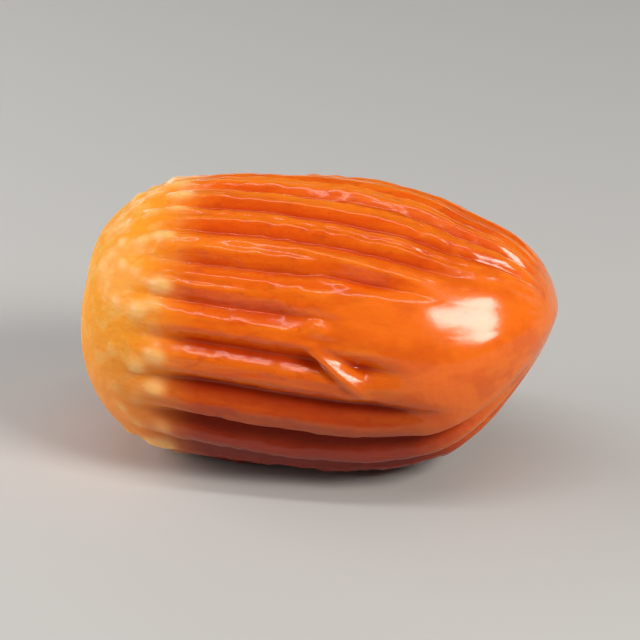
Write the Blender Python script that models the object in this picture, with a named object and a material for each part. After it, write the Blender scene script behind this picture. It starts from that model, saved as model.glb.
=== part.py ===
"""One tulumba: a short length of ridged dough, fried and soaked in syrup, lying on its side.

Units are metres and +Z is up. The piece lies along X, its blunt end at -X and its tapered end
at +X. The origin is on the surface that it lies on, under the middle of its box.
"""

from math import atan2, cos, exp, pi, radians, sin

import bmesh
import bpy
from mathutils import Vector

# A station runs from 0 at the tip of the blunt end to 1 at the tip of the tapered end.
# A turn is the angle round the long axis: 0 at +Y, a quarter turn at +Z, half a turn at -Y.

# Body
LENGTH = 0.0480
BELLY_RADIUS = 0.0151
BELLY_STATION = 0.44
HEIGHT_OVER_WIDTH = 0.985  # the soft dough sags a little
BLUNT_POWER = 2.9  # of a superellipse: 2 is an ellipse, more is squarer
TAPER_FULLNESS = 3.2  # how long the tapered end stays thick
TAPER_EDGE = 1.35  # seen from the side: under 2 it closes to an edge
TAPER_ROUND = 2.0  # seen from above: 2 is a round end
LIFT = 0.0029  # the tapered end's tip above the middle
LIFT_START = 0.78
LUMP_HEIGHT = 0.00025

# Ridges, as the star nozzle leaves them
RIDGE_COUNT = 22
RIDGE_DEPTH = 0.00160
CREST_ROUNDNESS = 1.15  # the power of a cosine: 1 leaves sharp creases, 2 is a plain wave
RIDGE_TWIST = radians(15)  # from end to end
RIDGE_DRIFT = 0.07  # radians: the ridges crowd together on one side and spread on the other
RIDGE_DRIFT_TURN = radians(287)
RIDGE_LEAN = 0.078  # radians: the ridges shift round the piece towards its top
RIDGE_UNEVENNESS = 0.15  # share of the depth
DEEPER_BELOW = 0.42  # share of the depth
DEEPEST_TURN = radians(240)
SHALLOWER_IN_FRONT = 0.30  # share of the depth
SHALLOW_STATION = 0.50
SHALLOW_TURN = radians(140)
SHALLOW_REACH = (0.30, 0.45)  # along the stations, and round the piece in radians

# The smooth cap of the blunt end, and the nubs that the ridges start with
CAP_EDGE = 0.105
CAP_FADE = 0.165
NUB_HEIGHT = 0.00030
NUB_STATION = 0.175
NUB_REACH = 0.040

# The smooth swelling at the front of the tapered end, and the tongue that it sends back between
# the ridges: station, turn, length over width, radius, fade and how far it fills the grooves
SWELLINGS = (
    (0.86, radians(168), 1.1, 0.0055, 0.0060, 0.96),
    (0.67, radians(155), 2.6, 0.0010, 0.0034, 0.80),
)
TIP_SMOOTH = 0.015
TIP_FADE = 0.09

# The flat spot underneath
SEAT_DEPTH = 0.0010
SEAT_SNAP = 0.00003  # a corner this close to the seat's plane is moved into it

# Facets
FACETS_PER_RIDGE = 6
ROWS = 33

SYRUP_ORANGE = (0.76, 0.110, 0.006, 1.0)
SYRUP_ROUGHNESS = 0.18


def clear_scene():
    for thing in list(bpy.data.objects):
        bpy.data.objects.remove(thing, do_unlink=True)


def smooth_step(value, start, width):
    part = min(max((value - start) / width, 0.0), 1.0)
    return part * part * (3 - 2 * part)


def half_width_and_height(station):
    """The body's half sizes to the crests: a blunt end, a belly and a tapered end."""
    if station < BELLY_STATION:
        away = (BELLY_STATION - station) / BELLY_STATION
        share = max(1 - away**BLUNT_POWER, 0) ** (1 / BLUNT_POWER)
        return BELLY_RADIUS * share, BELLY_RADIUS * HEIGHT_OVER_WIDTH * share
    away = (station - BELLY_STATION) / (1 - BELLY_STATION)
    left = max(1 - away**TAPER_FULLNESS, 0)
    half_width = BELLY_RADIUS * left ** (1 / TAPER_ROUND)
    half_height = BELLY_RADIUS * HEIGHT_OVER_WIDTH * left ** (1 / TAPER_EDGE)
    return half_width, half_height


def place(station, turn, relief):
    """A point that stands this far out of the body's plain form."""
    half_width, half_height = half_width_and_height(station)
    lift = LIFT * smooth_step(station, LIFT_START, 1 - LIFT_START)
    return Vector(
        (
            LENGTH * (station - 0.5),
            max(half_width + relief, 0) * cos(turn),
            lift + max(half_height + relief, 0) * sin(turn),
        )
    )


def ridge_share(station, turn):
    """1 where the ridges are full, 0 on the smooth cap, on the swellings and at the tip."""
    share = smooth_step(station, CAP_EDGE, CAP_FADE) * smooth_step(1 - station, TIP_SMOOTH, TIP_FADE)
    for middle, middle_turn, stretch, radius, fade, fill in SWELLINGS:
        away = place(station, turn, 0) - place(middle, middle_turn, 0)
        away.x /= stretch
        share *= 1 - fill * (1 - smooth_step(away.length, radius, fade))
    return share


def ridge_depth(station, bearing, turn):
    """How deep the grooves are here: deepest low down in front, shallowest above it."""
    along = (station - SHALLOW_STATION) / SHALLOW_REACH[0]
    around = (turn - SHALLOW_TURN) / SHALLOW_REACH[1]
    uneven = RIDGE_UNEVENNESS * sin(3 * bearing + 1.1) * cos(bearing - 4 * station)
    below = DEEPER_BELOW * cos(turn - DEEPEST_TURN)
    shallow = SHALLOWER_IN_FRONT * exp(-(along**2) - around**2)
    return RIDGE_DEPTH * (1 + uneven + below - shallow)


def dough_point(station, bearing):
    """A point of the surface. Its bearing counts the ridges evenly from the one underneath."""
    drift = sin(2 * (bearing - RIDGE_DRIFT_TURN)) + sin(2 * RIDGE_DRIFT_TURN)
    shift = RIDGE_DRIFT * drift + RIDGE_LEAN * sin(bearing) + RIDGE_TWIST * (station - 0.5)
    turn = (bearing - pi / 2 + shift) % (2 * pi)
    crest = abs(cos(RIDGE_COUNT * bearing / 2)) ** CREST_ROUNDNESS
    nub = exp(-(((station - NUB_STATION) / NUB_REACH) ** 2))
    lump = sin(2 * bearing + 5 * station) * sin(pi * station) ** 2
    relief = -ridge_depth(station, bearing, turn) * ridge_share(station, turn) * (1 - crest)
    relief += NUB_HEIGHT * nub * crest + LUMP_HEIGHT * lump
    return place(station, turn, relief)


def shape_dough(bm):
    """A globe whose poles become the two tips and whose meridians follow the ridges."""
    bmesh.ops.create_uvsphere(
        bm, u_segments=RIDGE_COUNT * FACETS_PER_RIDGE, v_segments=ROWS, radius=1
    )
    for vert in bm.verts:
        station = min(max((1 + vert.co.z) / 2, 0.0), 1.0)
        vert.co = dough_point(station, atan2(vert.co.y, vert.co.x))


def press_seat(bm):
    """Lowers the piece into the surface by the seat's depth, and cuts it flat there."""
    lowest = min(vert.co.z for vert in bm.verts)
    bmesh.ops.translate(bm, vec=(0, 0, -lowest - SEAT_DEPTH), verts=bm.verts)
    for vert in bm.verts:
        if abs(vert.co.z) < SEAT_SNAP:
            vert.co.z = 0
    bmesh.ops.bisect_plane(
        bm,
        geom=bm.verts[:] + bm.edges[:] + bm.faces[:],
        dist=SEAT_SNAP / 100,
        plane_co=(0, 0, 0),
        plane_no=(0, 0, 1),
        clear_inner=True,
    )
    rim = [edge for edge in bm.edges if edge.is_boundary]
    bmesh.ops.holes_fill(bm, edges=rim, sides=0)


def centre_over_origin(bm):
    low = [min(vert.co[axis] for vert in bm.verts) for axis in (0, 1)]
    high = [max(vert.co[axis] for vert in bm.verts) for axis in (0, 1)]
    middle = [(a + b) / 2 for a, b in zip(low, high)]
    bmesh.ops.translate(bm, vec=(-middle[0], -middle[1], 0), verts=bm.verts)


def syrup_dough_material():
    material = bpy.data.materials.new("syrup_soaked_dough")
    material.use_nodes = True
    shader = material.node_tree.nodes["Principled BSDF"]
    shader.inputs["Base Color"].default_value = SYRUP_ORANGE
    shader.inputs["Roughness"].default_value = SYRUP_ROUGHNESS
    shader.inputs["Metallic"].default_value = 0.0
    return material


def make_tulumba():
    bm = bmesh.new()
    shape_dough(bm)
    press_seat(bm)
    centre_over_origin(bm)
    bmesh.ops.recalc_face_normals(bm, faces=bm.faces)
    mesh = bpy.data.meshes.new("tulumba")
    bm.to_mesh(mesh)
    bm.free()
    mesh.materials.append(syrup_dough_material())
    mesh.shade_smooth()
    bpy.context.scene.collection.objects.link(bpy.data.objects.new("tulumba", mesh))


clear_scene()
make_tulumba()
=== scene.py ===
from math import cos, pi, radians, sin

import bpy
import numpy as np
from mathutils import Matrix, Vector


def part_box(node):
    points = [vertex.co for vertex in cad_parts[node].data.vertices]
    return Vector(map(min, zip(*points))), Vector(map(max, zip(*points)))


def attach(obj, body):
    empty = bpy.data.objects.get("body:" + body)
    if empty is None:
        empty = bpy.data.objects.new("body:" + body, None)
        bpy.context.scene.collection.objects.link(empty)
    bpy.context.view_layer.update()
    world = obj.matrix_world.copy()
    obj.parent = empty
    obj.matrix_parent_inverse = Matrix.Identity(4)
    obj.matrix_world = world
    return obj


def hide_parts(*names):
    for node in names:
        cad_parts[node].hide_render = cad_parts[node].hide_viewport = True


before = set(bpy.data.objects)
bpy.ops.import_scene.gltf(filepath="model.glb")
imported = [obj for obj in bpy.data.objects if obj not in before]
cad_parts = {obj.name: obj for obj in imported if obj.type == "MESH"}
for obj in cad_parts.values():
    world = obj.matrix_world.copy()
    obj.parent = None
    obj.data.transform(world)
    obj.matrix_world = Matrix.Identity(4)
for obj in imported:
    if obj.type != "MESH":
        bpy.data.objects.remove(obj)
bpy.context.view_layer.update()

boxLow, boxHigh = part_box("tulumba")
print("frame loaded, tulumba box", [round(v * 1000, 2) for v in boxHigh - boxLow], "mm")


# station: 0 at the tip of the blunt end, 1 at the tip of the tapered end
# bearing: counts the ridges evenly round the piece, from the one underneath
# turn: the real angle round the long axis, a quarter turn is the top, half a turn the front
dough = {
    # body
    "length": boxHigh.x - boxLow.x,
    "bellyRadius": 0.0151,
    "bellyStation": 0.44,
    "heightOverWidth": 0.985,
    "bluntPower": 2.9,  # 2 is an ellipse, more is squarer
    "taperFullness": 3.2,  # how long the tapered end stays thick
    "taperEdge": 1.35,  # seen from the side: under 2 it closes to an edge
    "taperRound": 2.0,  # seen from above: 2 is a round end
    "lift": 0.0029,  # the tapered end's tip above the middle
    "liftStart": 0.78,
    "lumpHeight": 0.00025,
    "lumpWaves": (2, 5),  # round the piece and along it
    "seatDepth": 0.0010,  # how far the underside is pressed flat
    # ridges
    "ridges": 22,
    "ridgeDepth": 0.00160,
    "crestRoundness": 1.15,  # of a power of a cosine: 1 leaves sharp creases, 2 a plain wave
    "twist": radians(15),  # from end to end
    "drift": 0.07,  # the ridges crowd together on one side and spread on the other
    "driftTurn": radians(287),
    "lean": 0.078,  # they shift round the piece towards its top
    "unevenness": 0.15,
    "unevenWaves": (3, 1.1, 4),  # round the piece, its phase, and along the piece
    "deeperBelow": 0.42,
    "deepestTurn": radians(240),
    "shallowerInFront": 0.30,
    "shallowMiddle": (0.50, radians(140)),
    "shallowReach": (0.30, 0.45),
    "crestRise": 0.00014,  # how much higher or lower one ridge may be than the next
    # where there are no ridges: the blunt end's cap, the very tip, and where the tapered end
    # swells smooth and sends a tongue back between the ridges
    "capEdge": 0.105,
    "capFade": 0.205,
    "tipSmooth": 0.015,
    "tipFade": 0.09,
    # station, turn, length over width, radius, fade, how far it fills the grooves
    "swellings": [
        (0.86, radians(168), 1.1, 0.0055, 0.0060, 0.98),
        (0.67, radians(155), 2.6, 0.0010, 0.0034, 0.80),
    ],
    # the round beads that each ridge starts with, in rows: station, height, length and width
    "beads": [
        (0.116, 0.00034, 0.0014, 0.0016),
        (0.160, 0.00046, 0.0019, 0.0018),
        (0.208, 0.00044, 0.0026, 0.0018),
    ],
    "beadSizes": (0.30, 1.15),
    "beadShift": (0.010, 0.60),  # station, and share of half a ridge
    # the shallow dent along the middle of most crests
    "crestSplit": 0.00100,
    "splitWidth": 0.30,
    "splitShares": (0.3, 1),  # from one ridge to another
    "splitMiddle": (0.58, radians(150)),
    "splitReach": (0.26, 0.75),
    "splitElsewhere": 0.3,
    "splitLevel": 0.8,
    # waves: height, seed, how many, most round the piece, most along it
    "wander": (0.016, 23, 14, 6, 12),
    "splitWaves": (0.5, 26, 8, 22, 24),
    "ripple": (0.00008, 24, 40, 14, 60),
    "fineRipple": (0.00005, 25, 60, 60, 190),
    "drawnLines": (0.00003, 27, 60, 130, 14),
    "calmWhereSmooth": 0.93,  # how much less they stand out where there are no ridges
    # where the crust tore and its lower edge stands out: station, turn, length, width, step, slant
    "tears": [
        (0.590, 174.5, 0.0074, 0.0012, 0.00043, 40),
        (0.420, 262, 0.0046, 0.0016, 0.00030, -20),
        (0.560, 338, 0.0050, 0.0018, 0.00036, 28),
        (0.700, 40, 0.0040, 0.0015, 0.00028, -26),
    ],
    "tearSharpness": (6, 4),  # at its two ends, and at its two sides
    "tearMargin": 1.35,  # how far past its sides the ridges are gone
    # blisters and dents under the glaze: station, turn, length, width, height, slant
    "blisters": [
        (0.580, 130.5, 0.0090, 0.0008, 0.00030, 9),
        (0.565, 139, 0.0046, 0.0009, 0.00034, 12),
        (0.500, 152, 0.0022, 0.0015, 0.00030, -10),
        (0.545, 158, 0.0024, 0.0013, 0.00030, 35),
        (0.572, 152, 0.0022, 0.0014, 0.00030, 20),
        (0.470, 158, 0.0026, 0.0013, -0.00022, 10),
        (0.860, 150, 0.0060, 0.0054, -0.00024, 0),
        (0.892, 172, 0.0060, 0.0050, 0.00028, 0),
        (0.640, 97, 0.0034, 0.0016, 0.00018, 8),
        (0.300, 128, 0.0030, 0.0011, 0.00014, -6),
    ],
    # small ones all over: the least and the most of each value
    "looseBlisters": 90,
    "looseWidth": (0.0007, 0.0022),
    "looseStation": (0.16, 0.94),
    "looseStretch": (1, 2.2),  # length over width
    "looseRise": (-0.07, 0.10),  # height over width
    "looseSlant": (-20, 30),
    # shallow dents and bumps of the smooth blunt end
    "capDents": 60,
    "capDentHeight": 0.00016,
    "capDentStation": (0, 0.06),
    "capDentReach": (0.0006, 0.0020),
    # what the colours follow
    "hollowFrom": (0.6, 0.4),  # how much the depth counts, and how much the place in the groove
    "paleUpTo": (0.12, 0.18),  # station and fade
    "shadeBelowUpTo": (0.001, 0.021),  # height and fade: how high the painted shade on the underside reaches
    "lessShadeAtTip": (0.70, 0.18, 0.55),  # station, fade, and how much less painted shade it gets
    # mesh
    "pointsPerRidge": 20,
    "crestCrowding": -0.12,  # under 0 the points crowd together in the grooves
    "rings": 212,
    "seed": 22,
}


def smoothStep(value, start, width):
    part = np.clip((value - start) / width, 0, 1)
    return part * part * (3 - 2 * part)


def halfSizes(d, station):
    # half width and half height out to the crests
    blunt = np.clip((d["bellyStation"] - station) / d["bellyStation"], 0, 1)
    taper = np.clip((station - d["bellyStation"]) / (1 - d["bellyStation"]), 0, 1)
    share = (1 - blunt ** d["bluntPower"]) ** (1 / d["bluntPower"])
    left = 1 - taper ** d["taperFullness"]
    width = d["bellyRadius"] * share * left ** (1 / d["taperRound"])
    height = d["bellyRadius"] * d["heightOverWidth"] * share * left ** (1 / d["taperEdge"])
    return width, height


def place(d, station, turn, relief):
    # a point that stands this far out of the body's plain form
    width, height = halfSizes(d, station)
    lift = d["lift"] * smoothStep(station, d["liftStart"], 1 - d["liftStart"])
    x = d["length"] * (station - 0.5) + 0 * turn
    y = np.maximum(width + relief, 0) * np.cos(turn)
    z = lift + np.maximum(height + relief, 0) * np.sin(turn)
    return np.stack([x, y, z], axis=-1)


def waves(station, bearing, height, seed, count, around, along):
    # smooth uneven waves that close round the piece, most of them lower than their height
    draw = np.random.default_rng(seed)
    total = np.zeros(np.broadcast(station, bearing).shape)
    for _ in range(count):
        m = draw.integers(-around, around + 1)
        n = draw.uniform(-along, along)
        total += np.sin(m * bearing + n * station + draw.uniform(0, 2 * pi))
    return height * total / np.sqrt(count)


def patch(station, turn, middle, reach):
    # 1 at its middle, fading outwards
    return np.exp(-(((station - middle[0]) / reach[0]) ** 2) - ((turn - middle[1]) / reach[1]) ** 2)


def oval(d, station, turn, middle, middleTurn, long, wide, slant):
    # places in an oval's own half lengths and half widths; seen from in front, with the blunt
    # end at the left, it slants down to the right by some degrees
    along = (station - middle) * d["length"]
    across = (turn - radians(middleTurn) + pi) % (2 * pi) - pi
    across = across * halfSizes(d, middle)[0]
    c, s = cos(radians(slant)), sin(radians(slant))
    return (along * c + across * s) / (long / 2), (across * c - along * s) / (wide / 2)


def blister(d, station, turn, middle, middleTurn, long, wide, height, slant):
    u, v = oval(d, station, turn, middle, middleTurn, long, wide, slant)
    return height * np.exp(-u * u - v * v)


def tear(d, station, turn, middle, middleTurn, long, wide, step, slant):
    # how far it stands out, sunk along its upper edge and raised along its lower one, and 1
    # where it leaves no ridges
    u, v = oval(d, station, turn, middle, middleTurn, long, wide, slant)
    ends, sides = d["tearSharpness"]
    rise = step * v * np.exp(-(u**ends) - v**sides)
    return rise, np.exp(-(u**ends) - (v / d["tearMargin"]) ** sides)


def capShare(d, station):
    # 1 on the blunt end's smooth cap, 0 where the ridges are full
    return 1 - smoothStep(station, d["capEdge"], d["capFade"])


def ridgesAndTears(d, station, turn):
    # how full the ridges are, from 0 to 1, and how far the torn crust stands out
    ridged = 1 - capShare(d, station)
    for middle, middleTurn, stretch, radius, fade, filled in d["swellings"]:
        away = place(d, station, turn, 0) - place(d, middle, middleTurn, 0)
        away = np.linalg.norm(away / (stretch, 1, 1), axis=-1)
        ridged = ridged * (1 - filled * (1 - smoothStep(away, radius, fade)))
    ridged = ridged * smoothStep(1 - station, d["tipSmooth"], d["tipFade"])
    torn = 0
    for one in d["tears"]:
        rise, bare = tear(d, station, turn, *one)
        torn = torn + rise
        ridged = ridged * (1 - bare)
    return ridged, torn


def grooveDepth(d, station, bearing, turn):
    # deepest low down in front, shallowest above it
    around, phase, along = d["unevenWaves"]
    uneven = d["unevenness"] * np.sin(around * bearing + phase) * np.cos(bearing - along * station)
    below = d["deeperBelow"] * np.cos(turn - d["deepestTurn"])
    shallow = d["shallowerInFront"] * patch(station, turn, d["shallowMiddle"], d["shallowReach"])
    return d["ridgeDepth"] * (1 + uneven + below - shallow)


def beadsOnRidges(d, draw, station, bearing, ridge):
    # how high the beads stand, and how near to a bead's middle each point is
    halfRidge = pi / d["ridges"]
    aside = bearing / halfRidge / 2
    aside = 2 * (aside - np.rint(aside))
    standing, near = 0, 0
    for middle, height, long, wide in d["beads"]:
        shift = draw.uniform(-1, 1, (2, d["ridges"]))[:, ridge]
        size = draw.uniform(*d["beadSizes"], d["ridges"])[ridge]
        along = (station - middle - shift[0] * d["beadShift"][0]) * d["length"]
        across = (aside - shift[1] * d["beadShift"][1]) * halfRidge * halfSizes(d, middle)[0]
        bead = size * np.exp(-((along / (long / 2)) ** 2) - (across / (wide / 2)) ** 2)
        standing = standing + height * bead
        near = near + bead
    return standing, near


def crestDents(d, draw, station, bearing, turn, ridge):
    # how deep the dent along the middle of a crest is
    offCrest = np.sin(d["ridges"] * bearing / 2)
    split = draw.uniform(*d["splitShares"], d["ridges"])[ridge]
    split = split * np.exp(-((offCrest / d["splitWidth"]) ** 2))
    here = patch(station, turn, d["splitMiddle"], d["splitReach"])
    split = split * (d["splitElsewhere"] + (1 - d["splitElsewhere"]) * here)
    split = split * (d["splitLevel"] + waves(station, bearing, *d["splitWaves"]))
    return d["crestSplit"] * np.maximum(split, 0)


def looseBlisters(d, draw, station, turn):
    total = 0
    for _ in range(d["looseBlisters"]):
        wide = draw.uniform(*d["looseWidth"])
        middle, middleTurn = draw.uniform(*d["looseStation"]), draw.uniform(0, 360)
        long = wide * draw.uniform(*d["looseStretch"])
        height = wide * draw.uniform(*d["looseRise"])
        slant = draw.uniform(*d["looseSlant"])
        total = total + blister(d, station, turn, middle, middleTurn, long, wide, height, slant)
    return total


def capDents(d, draw, station, turn):
    # how far the cap's bumps stand out along the piece; where it is dented, less than 0
    plain = place(d, station, turn, 0)
    total = 0
    for _ in range(d["capDents"]):
        middle = place(d, draw.uniform(*d["capDentStation"]), draw.uniform(0, 2 * pi), 0)
        reach = draw.uniform(*d["capDentReach"])
        bump = np.exp(-((np.linalg.norm(plain - middle, axis=-1) / reach) ** 2))
        total = total + d["capDentHeight"] * draw.uniform(-1, 1) * bump
    return total * capShare(d, station)


def doughSurface(d, station, bearing):
    # the points, and what the colours follow: how far in a groove, how ridged, how near a bead
    draw = np.random.default_rng(d["seed"])
    drift = np.sin(2 * (bearing - d["driftTurn"])) + sin(2 * d["driftTurn"])
    turn = bearing - pi / 2 + d["drift"] * drift + d["lean"] * np.sin(bearing)
    turn = turn + d["twist"] * (station - 0.5) + waves(station, bearing, *d["wander"])
    ridge = np.rint(bearing * d["ridges"] / (2 * pi)).astype(int) % d["ridges"]
    crest = np.abs(np.cos(d["ridges"] * bearing / 2)) ** d["crestRoundness"]

    ridged, relief = ridgesAndTears(d, station, turn)
    relief = relief - grooveDepth(d, station, bearing, turn) * ridged * (1 - crest)
    standing, nearBead = beadsOnRidges(d, draw, station, bearing, ridge)
    relief = relief + standing
    relief = relief - crestDents(d, draw, station, bearing, turn, ridge) * ridged
    rise = draw.uniform(-1, 1, d["ridges"])[ridge]
    relief = relief + d["crestRise"] * rise * crest * ridged
    around, along = d["lumpWaves"]
    lump = np.sin(around * bearing + along * station) * np.sin(pi * station) ** 2
    relief = relief + d["lumpHeight"] * lump

    # ripples die away at the tips and are calmer where there are no ridges
    calm = 1 - d["calmWhereSmooth"] * (1 - ridged)
    ends = np.sqrt(np.sin(pi * np.clip(station, 0, 1))) * calm
    relief = relief + ends * waves(station, bearing, *d["ripple"])
    relief = relief + ends * waves(station, bearing, *d["fineRipple"])
    relief = relief + ends * calm * waves(station, bearing, *d["drawnLines"])
    for one in d["blisters"]:
        relief = relief + blister(d, station, turn, *one)
    relief = relief + calm * looseBlisters(d, draw, station, turn)

    deep, inGroove = d["hollowFrom"]
    # hollow: how deep in a groove; the colours use it for painted shade in the grooves and painted
    # light on the crests
    hollow = np.clip(inGroove * (1 - crest) * ridged - deep * relief / d["ridgeDepth"], 0, 1)
    points = place(d, station, turn, relief)
    points[..., 0] -= capDents(d, draw, station, turn)
    return points, hollow, ridged, nearBead


def doughGrid(d):
    # rings of points from tip to tip, closer together at the ends, and one point at each tip
    around = d["ridges"] * d["pointsPerRidge"]
    bearing = np.arange(around) * 2 * pi / around
    bearing = bearing - d["crestCrowding"] * np.sin(d["ridges"] * bearing) / d["ridges"]
    station = (1 - np.cos(np.linspace(0, pi, d["rings"] + 2)[1:-1])) / 2
    station, bearing = np.meshgrid(station, bearing, indexing="ij")
    station = np.concatenate([[0], station.ravel(), [1]])
    bearing = np.concatenate([[0], bearing.ravel(), [0]])
    last = len(station) - 1
    faces = []
    for a in range(around):
        b = (a + 1) % around
        faces.append((0, 1 + b, 1 + a))
        for ring in range(d["rings"] - 1):
            row, nextRow = 1 + ring * around, 1 + (ring + 1) * around
            faces.append((row + a, row + b, nextRow + b, nextRow + a))
        faces.append((last, last - around + a, last - around + b))
    return station, bearing, faces


def seatAndCentre(d, points):
    # pressed flat underneath, and over the middle of the CAD box
    points[:, 2] -= points[:, 2].min() + d["seatDepth"]
    points[:, 2] = np.maximum(points[:, 2], 0) + boxLow.z
    for axis in (0, 1):
        middle = (points[:, axis].min() + points[:, axis].max()) / 2
        points[:, axis] += (boxLow[axis] + boxHigh[axis]) / 2 - middle


def makeDough(d):
    station, bearing, faces = doughGrid(d)
    points, hollow, ridged, nearBead = doughSurface(d, station, bearing)
    seatAndCentre(d, points)
    tipStart, tipFade, lessShade = d["lessShadeAtTip"]
    # painted shade: darker and redder towards the underside, less of it at the tapered end
    shadeBelow = 1 - smoothStep(points[:, 2] - boxLow.z, *d["shadeBelowUpTo"])
    shadeBelow = shadeBelow * (1 - lessShade * smoothStep(station, tipStart, tipFade))
    pale = 1 - smoothStep(station, *d["paleUpTo"])
    mesh = bpy.data.meshes.new("glazedDough")
    mesh.from_pydata(points, [], faces)
    looks = {"hollow": hollow, "ridged": ridged, "beads": nearBead, "shadeBelow": shadeBelow, "paleness": pale}
    for name, values in looks.items():
        layer = mesh.attributes.new(name, "FLOAT", "POINT")
        layer.data.foreach_set("value", values.astype(np.float32))
    mesh.update()
    mesh.shade_smooth()
    piece = bpy.data.objects.new("glazedDough", mesh)
    bpy.context.scene.collection.objects.link(piece)
    return piece


dough["material"] = {
    "bodyOrange": (0.80, 0.110, 0.003, 1),
    "streakOrange": (0.86, 0.170, 0.005, 1),
    "crumbBrown": (0.60, 0.070, 0.003, 1),
    # grooves redder where syrup pools, and darker as painted shade
    "grooveRedAndShade": (0.60, 0.048, 0.0015, 1),
    # crests lighter: partly less soaked dough, partly painted light
    "crestOrangeAndLight": (0.92, 0.205, 0.010, 1),
    "swellOrange": (0.92, 0.175, 0.009, 1),
    "caramel": (0.62, 0.062, 0.002, 1),
    # painted shade of the underside, with a little painted reflection in its blue
    "shadeBelowRed": (0.27, 0.024, 0.009, 1),
    "capYellow": (0.95, 0.345, 0.026, 1),
    "capPale": (0.95, 0.47, 0.11, 1),
    # the cap's lower part, painted redder where it is in shade
    "capShadedLow": (0.95, 0.29, 0.055, 1),
    # beads: paler dough at the ridge starts, with a painted highlight
    "beadPaleAndHighlight": (0.97, 0.51, 0.17, 1),
    # spots: noise scale, stretch along x, y and z, detail, where they start and are full, share
    "streaks": (900, (0.07, 1, 1), 4, 0.35, 0.70, 1.0),
    "crumbs": (1300, (0.6, 1, 1), 4, 0.54, 0.70, 0.5),
    "caramelSpots": (330, (0.5, 1, 1), 6, 0.48, 0.66, 0.38),
    "capClouds": (520, (1, 1, 1), 3, 0.48, 0.64, 0.7),
    # where a colour starts and is full, and its share
    "inGrooves": (0.35, 0.95),
    "onCrests": (0.22, 0.0),
    "whereSmooth": (0.9, 0.1),
    "whereShadedBelow": (0.0, 1.0),
    "capShadedBelow": (0.0, 0.9),
    "onBeads": (0.06, 0.85, 0.95),
    # bumps: noise scale, stretch along x, y and z, height
    "crumbGrain": (1500, (0.7, 1, 1), 0.00018),
    "crustLines": (900, (0.07, 1, 1), 0.00010),
    "glazeWaves": (500, (0.5, 1, 1), 0.00007),
    "glazeGrain": (2400, (0.7, 1, 1), 0.00002),
    "bumpDetail": 5,
    # dough
    "roughness": 0.45,
    "lightInside": 0.4,  # the share of light that goes through it, how far, and its colours
    "lightReach": 0.0024,
    "lightColours": (1.0, 0.28, 0.08),
    # glaze
    "glazeRoughness": 0.19,
    "glazeIndex": 1.45,
    "glazeOnPaleEnd": 1.7,  # 1 leaves no glaze at the pale end, 2 leaves half of it
    "glazeOnSwellings": 0.50,  # how much of its bumps is left where it is thick
    "glazeRidged": (0.1, 0.8),  # from how ridged to how ridged the bumps grow to full height
}


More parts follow.
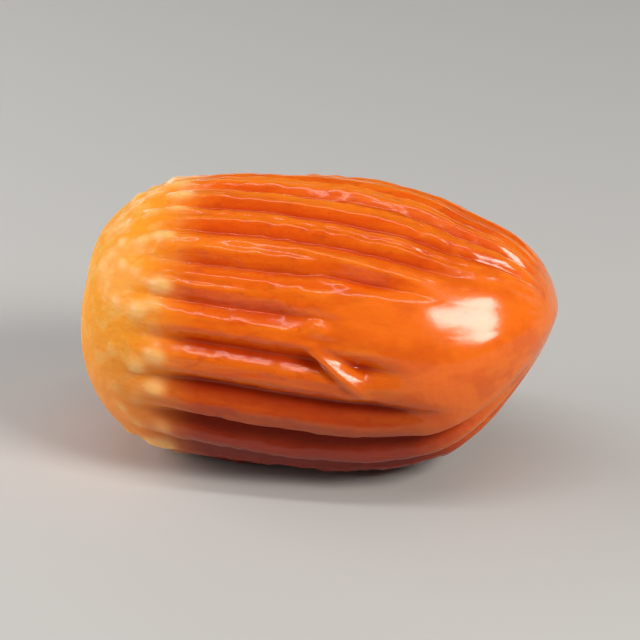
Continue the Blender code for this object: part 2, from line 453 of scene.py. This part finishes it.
def glazedDoughMaterial(m):
    material = bpy.data.materials.new("glazedDough")
    material.use_nodes = True
    nodes, links = material.node_tree.nodes, material.node_tree.links
    shader = nodes["Principled BSDF"]

    def attribute(name):
        node = nodes.new("ShaderNodeAttribute")
        node.attribute_name = name
        return node.outputs["Fac"]

    def feed(socket, value):
        if isinstance(value, (tuple, float)):
            socket.default_value = value
        else:
            links.new(value, socket)

    def mix(share, first, second):
        node = nodes.new("ShaderNodeMix")
        node.data_type = "RGBA"
        feed(node.inputs[0], share)
        feed(node.inputs[6], first)
        feed(node.inputs[7], second)
        return node.outputs[2]

    def ramp(value, start, full, top=1.0, bottom=0.0):
        node = nodes.new("ShaderNodeMapRange")
        node.interpolation_type = "SMOOTHSTEP"
        node.inputs["From Min"].default_value = start
        node.inputs["From Max"].default_value = full
        node.inputs["To Min"].default_value = bottom
        node.inputs["To Max"].default_value = top
        links.new(value, node.inputs["Value"])
        return node.outputs["Result"]

    def noise(scale, stretch, detail):
        place = nodes.new("ShaderNodeTexCoord")
        mapping = nodes.new("ShaderNodeMapping")
        mapping.inputs["Scale"].default_value = stretch
        links.new(place.outputs["Object"], mapping.inputs["Vector"])
        node = nodes.new("ShaderNodeTexNoise")
        node.inputs["Scale"].default_value = scale
        node.inputs["Detail"].default_value = detail
        links.new(mapping.outputs["Vector"], node.inputs["Vector"])
        return node.outputs["Fac"]

    def spots(scale, stretch, detail, start, full, share):
        return ramp(noise(scale, stretch, detail), start, full, share)

    def bump(grain, below=None, strength=1.0):
        scale, stretch, height = grain
        node = nodes.new("ShaderNodeBump")
        feed(node.inputs["Strength"], strength)
        node.inputs["Distance"].default_value = height
        links.new(noise(scale, stretch, m["bumpDetail"]), node.inputs["Height"])
        if below:
            links.new(below, node.inputs["Normal"])
        return node.outputs["Normal"]

    # fried crust: fine streaks along the ridges, darker crumbs, grooves redder with syrup and with
    # painted shade, crests lighter with painted light
    colour = mix(spots(*m["streaks"]), m["bodyOrange"], m["streakOrange"])
    colour = mix(spots(*m["crumbs"]), colour, m["crumbBrown"])
    colour = mix(ramp(attribute("hollow"), *m["inGrooves"]), colour, m["grooveRedAndShade"])
    colour = mix(ramp(attribute("hollow"), *m["onCrests"]), colour, m["crestOrangeAndLight"])
    colour = mix(ramp(attribute("ridged"), *m["whereSmooth"]), colour, m["swellOrange"])
    colour = mix(spots(*m["caramelSpots"]), colour, m["caramel"])
    # painted shade, darker and redder towards the underside with a little painted reflection; then the
    # pale blunt end, and the beads, paler and with a painted highlight
    colour = mix(ramp(attribute("shadeBelow"), *m["whereShadedBelow"]), colour, m["shadeBelowRed"])
    cap = mix(spots(*m["capClouds"]), m["capYellow"], m["capPale"])
    cap = mix(ramp(attribute("shadeBelow"), *m["capShadedBelow"]), cap, m["capShadedLow"])
    colour = mix(attribute("paleness"), colour, cap)
    colour = mix(ramp(attribute("beads"), *m["onBeads"]), colour, m["beadPaleAndHighlight"])
    links.new(colour, shader.inputs["Base Color"])
    links.new(bump(m["crumbGrain"], bump(m["crustLines"])), shader.inputs["Normal"])
    shader.inputs["Roughness"].default_value = m["roughness"]
    shader.inputs["Specular IOR Level"].default_value = 0.0  # all gloss comes from the glaze
    shader.inputs["Subsurface Weight"].default_value = m["lightInside"]
    shader.inputs["Subsurface Radius"].default_value = m["lightColours"]
    shader.inputs["Subsurface Scale"].default_value = m["lightReach"]

    # the syrup glaze, thinner at the pale end and smoother where it is thick
    glaze = ramp(attribute("paleness"), m["glazeOnPaleEnd"], 0.0)
    uneven = ramp(attribute("ridged"), *m["glazeRidged"], bottom=m["glazeOnSwellings"])
    glazeNormal = bump(m["glazeGrain"], bump(m["glazeWaves"], None, uneven), uneven)
    links.new(glaze, shader.inputs["Coat Weight"])
    links.new(glazeNormal, shader.inputs["Coat Normal"])
    shader.inputs["Coat Roughness"].default_value = m["glazeRoughness"]
    shader.inputs["Coat IOR"].default_value = m["glazeIndex"]
    return material


piece = makeDough(dough)
piece.data.materials.append(glazedDoughMaterial(dough["material"]))
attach(piece, "root")
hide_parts("tulumba")
print("glazed dough made,", len(piece.data.polygons), "faces")


studio = {
    "floorSize": 3.0,
    "floorCells": 4,
    "floorGap": 0.00005,  # under the piece
    "floorColour": (0.56, 0.56, 0.56, 1),
    "floorRoughness": 0.6,
    "floorShine": 0.1,
    "skyColour": (1.0, 0.98, 0.95, 1),
    "skyStrength": 0.08,
    # name: azimuth, elevation, distance, width, height, watts, colour
    "lights": {
        "key": (55, 36, 0.45, 0.17, 0.13, 1.50, (1, 0.95, 0.86)),
        "top": (0, 76, 0.60, 0.55, 0.060, 1.00, (1, 1, 1)),
        "left": (-86, 22, 0.30, 0.36, 0.20, 0.74, (1, 0.98, 0.94)),
        "rim": (185, 9, 0.70, 0.70, 0.14, 0.50, (1, 1, 1)),
        "leftRim": (-145, 8, 0.70, 0.35, 0.12, 0.30, (1, 1, 1)),
        "rightRim": (138, 14, 0.60, 0.50, 0.28, 0.15, (1, 1, 1)),
    },
}


def aroundTulumba(azimuth, elevation, distance, target):
    # from azimuth 0 one looks along +Y
    a, e = radians(azimuth), radians(elevation)
    return target + distance * Vector((sin(a) * cos(e), -cos(a) * cos(e), sin(e)))


def addLookingAt(target, name, data, location):
    thing = bpy.data.objects.new(name, data)
    thing.location = location
    thing.rotation_euler = (target - location).to_track_quat("-Z", "Y").to_euler()
    bpy.context.scene.collection.objects.link(thing)
    return thing


def makeFloor(s):
    cells = s["floorCells"]
    bpy.ops.mesh.primitive_grid_add(x_subdivisions=cells, y_subdivisions=cells, size=s["floorSize"])
    floor = bpy.context.object
    floor.name = "floor"
    floor.location.z = boxLow.z - s["floorGap"]
    paint = bpy.data.materials.new("floorPaint")
    paint.use_nodes = True
    shader = paint.node_tree.nodes["Principled BSDF"]
    shader.inputs["Base Color"].default_value = s["floorColour"]
    shader.inputs["Roughness"].default_value = s["floorRoughness"]
    shader.inputs["Specular IOR Level"].default_value = s["floorShine"]
    floor.data.materials.append(paint)


def makeLight(s, target):
    world = bpy.data.worlds.new("studio")
    bpy.context.scene.world = world
    world.use_nodes = True
    sky = world.node_tree.nodes["Background"]
    sky.inputs["Color"].default_value = s["skyColour"]
    sky.inputs["Strength"].default_value = s["skyStrength"]
    for name, (azimuth, elevation, distance, width, height, watts, colour) in s["lights"].items():
        data = bpy.data.lights.new(name, "AREA")
        data.color = colour
        data.shape = "RECTANGLE"
        data.size = width
        data.size_y = height
        data.energy = watts
        addLookingAt(target, name, data, aroundTulumba(azimuth, elevation, distance, target))


# fill: how much of the view's width the piece's length takes
lens = {"azimuth": 10, "elevation": 23, "millimetres": 180, "sensor": 36, "fill": 0.74}


def makeCamera(c, target):
    data = bpy.data.cameras.new("camera")
    data.lens = c["millimetres"]
    data.sensor_width = c["sensor"]
    distance = dough["length"] / c["fill"] * c["millimetres"] / c["sensor"]
    location = aroundTulumba(c["azimuth"], c["elevation"], distance, target)
    bpy.context.scene.camera = addLookingAt(target, "camera", data, location)


middle = (boxLow + boxHigh) / 2
makeFloor(studio)
makeLight(studio, middle)
makeCamera(lens, middle)
bpy.context.scene.view_settings.view_transform = "Standard"
print("studio and camera set")
